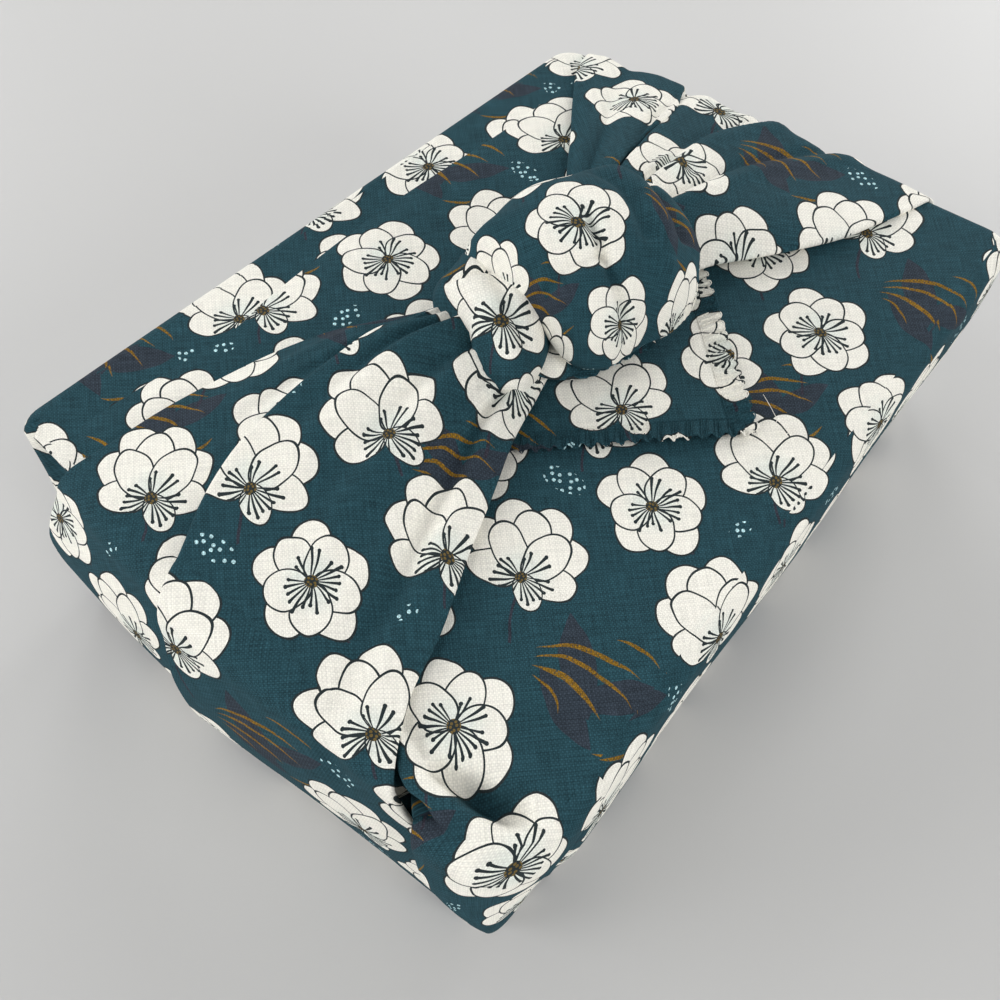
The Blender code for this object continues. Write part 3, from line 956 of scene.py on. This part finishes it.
def place_at(vector, spot, turn, size):
    """Coordinates seen from a motif: shifted, turned and divided by its size."""
    return node("Mapping", vector, (*spot, 0.0)[:3], (0.0, 0.0, math.radians(turn)), (*size, 1.0),
                vector_type="TEXTURE")


def new_group(name, inputs, outputs, draw):
    """A node group. draw is given its inputs as wires and returns its outputs."""
    tree = bpy.data.node_groups.new(name, "ShaderNodeTree")
    for label, kind, *start in inputs:
        socket = tree.interface.new_socket(name=label, in_out="INPUT", socket_type="NodeSocket" + kind)
        if start:
            socket.default_value = start[0]
    for label in outputs:
        kind = "NodeSocketColor" if label == "Color" else "NodeSocketFloat"
        tree.interface.new_socket(name=label, in_out="OUTPUT", socket_type=kind)
    given = tree.nodes.new("NodeGroupInput").outputs[:len(inputs)]
    for value, socket in zip(draw(*map(Wire, given)), tree.nodes.new("NodeGroupOutput").inputs):
        plug(value, socket)
    print(name, "has", len(tree.nodes), "nodes")
    return tree


def use_group(group, vector):
    return every(node("Group", vector, node_tree=group))


def srgb(red, green, blue):
    """A colour as read on a screen, 0 to 255, turned into Blender's linear values."""
    return tuple(c / 12.92 if c <= 0.04045 else ((c + 0.055) / 1.055) ** 2.4
                 for c in (red / 255, green / 255, blue / 255)) + (1.0,)


# %% [markdown]
# ## The weave
#
# The cloth is a plain weave: each thread goes over one thread and under the
# next. Two sine waves multiplied give the little cushions of the threads, and
# noise that is stretched along a thread makes some threads thicker.

# %% Weave group
THREAD = 0.56
ALONG, ACROSS = 0.12, 1.9


def draw_weave(cloth_mm, thread):
    waves = vcalc("SCALE", cloth_mm, None, None, calc("DIVIDE", math.pi, thread))
    warp, weft = (calc("SINE", wave) for wave in every(node("SeparateXYZ", waves))[:2])
    over = warp * weft
    tall = calc("ABSOLUTE", over)
    slub_x, slub_y = (uneven(vcalc("MULTIPLY", cloth_mm, (*drawn_out, 0.0)), 1.0, 1.0)
                      for drawn_out in ((ALONG, ACROSS), (ACROSS, ALONG)))
    slub = slub_x + slub_y
    hole = 1.0 - soft_step(tall, 0.0, 0.4)
    return slub * 0.5 + tall, hole * -0.16 + (over * 0.09 + (slub * 0.26 + 0.78))


weave_group = new_group("plain_weave", [("Cloth mm", "Vector"), ("Thread mm", "Float", THREAD)],
                        ["Height", "Shade"], draw_weave)

# %% [markdown]
# ## The blossoms
#
# A petal is an ellipse seen from its own middle: inside, its distance value
# is below 1, and its outline is where the value is close to 1. Petals are
# stacked from back to front: each new one rubs out the lines under it. The
# stamens come from the angle and distance round the heart.

# %% Petal tables
OPEN_PETALS = [
    # turn, reach, half_width, half_length
    (36,  10.2, 6.6, 7.4), (108, 10,   6.8, 7.2), (180, 10.4, 6.6, 7.4), (252, 10,   6.9, 7.2),
    (324, 10.3, 6.5, 7.3), (0,   7.4,  5.7, 7.4), (72,  7.2,  5.9, 7.2), (144, 7.5,  5.8, 7.5),
    (216, 7.3,  5.9, 7.3), (288, 7.2,  5.8, 7.2),
]
SIDE_PETALS = [
    (-52, 13.4, 6.4, 8),   (52,  13.2, 6.4, 8),   (-18, 17,   6.6, 7),   (19,  16.8, 6.7, 7),
    (-86, 8.6,  5.4, 8),   (88,  8.4,  5.5, 8),   (0,   12.4, 6.3, 8.6), (-36, 9.4,  5.7, 8.8),
    (37,  9.3,  5.8, 8.8), (150, 4.8,  4.4, 6),
]
PETAL_RIM, LINE_MIDDLE, LINE = 0.99, 0.965, 0.042
STAMENS, HEART, FLAT = 24, 1.9, (1.0, 1.0, 0.0)


def stack_petals(spot, petals):
    """Masks of the petals and of their outlines, drawn from back to front."""
    white = lines = None
    for turn, reach, *half in petals:
        a = math.radians(turn)
        value = length_of(place_at(spot, (reach * math.sin(a), reach * math.cos(a)), -turn, half))
        inside, ring = value < PETAL_RIM, calc("COMPARE", value, LINE_MIDDLE, LINE)
        white, lines = (white | inside, ring | (lines - inside)) if white else (inside, ring)
    return white, lines


# %% Blossom group
def draw_blossom(spot):
    x, y, kind = every(node("SeparateXYZ", spot))
    flat = vcalc("MULTIPLY", spot, FLAT)
    both = zip(stack_petals(flat, OPEN_PETALS), stack_petals(flat, SIDE_PETALS))
    white, lines = (blend("FLOAT", kind, seen_open, from_side) for seen_open, from_side in both)
    reach = length_of(flat)
    steps = calc("ARCTAN2", x, y) * (STAMENS / math.tau)
    chance = node("TexWhiteNoise", None, calc("FLOOR", steps), noise_dimensions="1D")
    aside = (calc("FRACT", steps) - 0.5) * reach * (math.tau / STAMENS)
    past = reach - (chance * 4.8 + 5.0)
    thread = (calc("ABSOLUTE", aside) < reach * 0.042 + 0.10) * (past < 0.0)
    tip = calc("SQRT", aside ** 2.0 + past ** 2.0) < 0.56
    stamen = (thread | tip) * (chance > 0.16) * white
    middle = reach < HEART
    bead = middle * (cells(flat, 0.95, 0.75) < 0.36)
    stem = calc("COMPARE", x, calc("SINE", y * 0.16) * 1.2, 0.42) * (y < 0.0)
    return white, lines | stamen | middle, bead, 1.0 - soft_step(reach, 3.0, 11.0), stem


blossom_group = new_group("blossom", [("Spot", "Vector")],
                          ["White", "Line", "Heart", "Cool", "Stem"], draw_blossom)

# %% [markdown]
# ## Grass and leaves
#
# Between the blossoms grow a few ochre blades over plum-brown leaves. A blade
# is a piece of a circle that thins towards its ends; a leaf is the lens shape
# between a curve and its mirror image.

# %% Grass tables
BLADES = [
    # from_x, from_y, to_x, to_y, bow, half_width
    (-14, -7,    9,  10,  3.6,  0.72), (-13, -9,    13, 3,   4.2,  0.62),
    (-12, -11,   10, -6,  3.2,  0.78), (-10, -12.5, 2,  -13, 1.6,  0.45),
    (-3,  12,    10, 16,  1.6,  0.5),  (14,  -13,   20, -3,  -1.2, 0.5),
]
LEAVES = [
    # x, y, turn, half_width, half_length
    (-4,  -1,  58,  5.2, 14), (8.5, 2,   -30, 4.4, 13), (1.5, -11, 82,  4,   12),
]


# %% Grass group
def arc_of(x0, y0, x1, y1, bow):
    """Centre, radius and the two angles of a flat arc between two points."""
    chord = math.hypot(x1 - x0, y1 - y0)
    radius = (chord**2 / 4 + bow**2) / (2 * abs(bow))
    push = math.copysign(radius - abs(bow), bow) / chord
    x, y = (x0 + x1) / 2 + (y1 - y0) * push, (y0 + y1) / 2 - (x1 - x0) * push
    return x, y, radius, math.atan2(y0 - y, x0 - x), math.atan2(y1 - y, x1 - x)


def draw_grass(spot):
    leaves, blades = [], []
    for x, y, turn, *half in LEAVES:
        across, along, _ = every(node("SeparateXYZ", place_at(spot, (x, y), turn, half)))
        leaves.append(calc("ABSOLUTE", across) < 1.0 - along ** 2.0)
    for *arc, half_width in BLADES:
        x, y, radius, start, end = arc_of(*arc)
        away = vcalc("SUBTRACT", spot, (x, y, 0.0))
        across, along, _ = every(node("SeparateXYZ", away))
        share = (calc("ARCTAN2", along, across) - (start + end) / 2) / (abs(end - start) / 2)
        off = calc("ABSOLUTE", length_of(away) - radius)
        blades.append(off < (1.0 - share ** 2.0) * half_width)
    return reduce(or_, leaves), reduce(or_, blades), uneven(spot, 1.6, 2.0)


grass_group = new_group("grass", [("Spot", "Vector")], ["Leaf", "Blade", "Streak"], draw_grass)

# %% [markdown]
# ## The repeat
#
# A printed cloth repeats a tile. The tile has some places for each motif,
# spread evenly but not in rows. Each point of the cloth is wrapped into the
# tile round every place, and the nearest place wins. Its table row says how
# the motif is turned and how big it is.

# %% Print tile
TILE = (126.0, 110.0)
BLOSSOM_PLACES = [
    # x, y, turn, size, kind (0 open, 1 from the side)
    (95.1,  58.5, 18,  0.97, 0), (106.3, 25.5, -20, 0.97, 1), (68.5,  14.9, -8,  0.97, 0),
    (42.5,  81.9, 16,  0.98, 1), (18.8,  36.9, 30,  0.95, 0), (6.3,   69.7, -14, 0.98, 1),
    (80.7,  91.4, -28, 1,    0), (30.3,  4.7,  10,  0.96, 1), (56.7,  48.5, -6,  0.98, 1),
]
GRASS_PLACES = [
    (118.4, 101, -58, 1,    0), (62,    70,  -35, 0.85, 0),
]
DOT_PLACES = [
    (120.5, 46.8, -35, 1,   0), (80.8,  37.1, 40,  0.8, 0),
    (16.5,  93.5, -50, 0.9, 0), (42.5,  27.5, 20,  0.6, 0),
]
PAINTS = [
    ("Ground", srgb(37, 69, 78)), ("Petal", srgb(240, 237, 227)), ("Ink", srgb(42, 50, 52)),
    ("Ochre", srgb(128, 96, 30)), ("Plum", srgb(54, 50, 60)), ("Dot", srgb(178, 214, 220)),
]
COOL_PETAL, HEART_PAINT = srgb(206, 220, 214), srgb(110, 92, 52)
SIDE_DROP, PATCH = 7.0, (6.5, 3.4)


def nearest_place(cloth_mm, places, drop=0.0):
    """The spot as seen from the nearest place; its z carries the kind."""
    chosen = best = None
    half = TILE[0] / 2, TILE[1] / 2, 1.0
    for x, y, turn, size, kind in places:
        moved = vcalc("SUBTRACT", cloth_mm, (x, y, 0.0))
        moved = vcalc("WRAP", moved, half, [-side for side in half])
        a, low = math.radians(turn), drop * kind
        spot = place_at(moved, (low * math.sin(a), -low * math.cos(a), -kind), turn, (size, size))
        far = length_of(moved)
        chosen = blend("VECTOR", far < best, chosen, spot) if chosen else spot
        best = calc("MINIMUM", best, far) if best else far
    return chosen


# %% Print group
def draw_print(cloth_mm, ground, petal, ink, ochre, plum, dot):
    shake = uneven(cloth_mm, 0.09, 1.0, out=1)
    shake = vcalc("MULTIPLY_ADD", shake, (2.0, 2.0, 0.0), (-1.0, -1.0, 0.0))
    shaken = vcalc("ADD", vcalc("MULTIPLY", cloth_mm, FLAT), shake)
    leaf, blade, streak = use_group(grass_group, nearest_place(shaken, GRASS_PLACES))
    spot = nearest_place(shaken, BLOSSOM_PLACES, SIDE_DROP)
    white, line, heart, cool, stem = use_group(blossom_group, spot)
    patch = vcalc("DIVIDE", nearest_place(shaken, DOT_PLACES), (*PATCH, 1.0))
    dots = (cells(cloth_mm, 0.42, 0.55) < 0.23) * (length_of(patch) < 1.0)
    colour = ground
    for mask, paint in [
        # from the ground up
        (leaf * 0.65, plum), (stem * 0.8, plum), (blade * soft_step(streak, 0.2, 0.5), ochre),
        (dots, dot), (white, blend("RGBA", cool * 0.45, petal, COOL_PETAL)),
        (line, ink), (heart, HEART_PAINT),
    ]:
        colour = blend("RGBA", mask, colour, paint)
    return colour, white


print_group = new_group(
    "blossom_print", [("Cloth mm", "Vector")] + [(label, "Color", paint) for label, paint in PAINTS],
    ["Color", "White"], draw_print)

# %% [markdown]
# ## Printed cotton
#
# Cotton is matt, so the shader has high roughness and hardly any shine. The
# print sits on the threads, and the weave gives it fine shade and bump. The
# shade is deeper where the print is dark.


# %% Cloth material
def new_material(name, values):
    mat = bpy.data.materials.new(name)
    mat.use_nodes = True
    set_inputs(mat.node_tree.nodes["Principled BSDF"], values)
    return mat


def make_printed_cotton():
    mat = new_material("printed_cotton_cloth", {"Roughness": 0.9, "Specular IOR Level": 0.12})
    nodes = mat.node_tree.nodes
    place = nodes.new("ShaderNodeUVMap")
    place.uv_map = "print"
    cloth_mm = vcalc("SCALE", Wire(place.outputs[0]), None, None, 1 / MM)
    height, shade = use_group(weave_group, cloth_mm)
    colour, white = use_group(print_group, cloth_mm)
    tone = shade ** (white * -1.9 + 2.8)
    grey = node("CombineColor", tone, tone, tone)
    bump = nodes.new("ShaderNodeBump")
    set_inputs(bump, {"Strength": 0.5, "Distance": 0.12 * MM, "Height": height})
    set_inputs(nodes["Principled BSDF"], {
        "Base Color": blend("RGBA", 1.0, colour, grey, blend_type="MULTIPLY"),
        "Normal": Wire(bump.outputs[0])})
    return mat


cotton = make_printed_cotton()
for piece in (cloth, threads):
    piece.data.materials.append(cotton)

# %% [markdown]
# ## Table and light
#
# The wrap stands on a white table. The light comes softly from all round, so
# the lamps are broad discs: a low ring, and two from higher up.

# %% Table
bpy.ops.mesh.primitive_plane_add(size=6.0, location=(0, 0, -0.3 * MM))
table = bpy.context.object
table.name = "table"
table.data.materials.append(new_material("table_white", {"Base Color": (0.56, 0.556, 0.547, 1.0),
                                                         "Roughness": 0.6}))

# %% Lamps
LIGHTS = [
    # name,           turn,  rise, size, watts
    ("right",         -45.0, 22.0, 1.2,  2.0),
    ("far right",     0.0,   22.0, 1.2,  21.0),
    ("far",           45.0,  35.0, 0.9,  7.0),
    ("far left",      90.0,  22.0, 1.2,  13.5),
    ("left",          135.0, 22.0, 1.2,  13.0),
    ("near left",     180.0, 22.0, 1.2,  13.5),
    ("near right",    270.0, 22.0, 1.2,  17.0),
    ("ceiling, near", 255.0, 55.0, 0.6,  6.5),
    ("ceiling, left", 155.0, 55.0, 0.6,  3.5),
]
LAMP_AWAY, AIM = 2.0, Vector((0, 0, 0.05))
for name, turn, rise, size, watts in LIGHTS:
    lamp = add_object(name, bpy.data.lights.new(name, "AREA"))
    lamp.data.shape, lamp.data.size, lamp.data.energy = "DISK", size, watts
    a, b = math.radians(turn), math.radians(rise)
    level = math.cos(b)
    lamp.location = LAMP_AWAY * Vector((level * math.cos(a), level * math.sin(a), math.sin(b)))
    lamp.rotation_euler = (AIM - lamp.location).to_track_quat("-Z", "Y").to_euler()
world = bpy.data.worlds.new("room")
world.use_nodes = True
set_inputs(world.node_tree.nodes["Background"], {"Color": (0.95, 0.98, 1.0, 1.0), "Strength": 0.12})
bpy.context.scene.world = world
bpy.context.scene.view_settings.view_transform = "Standard"
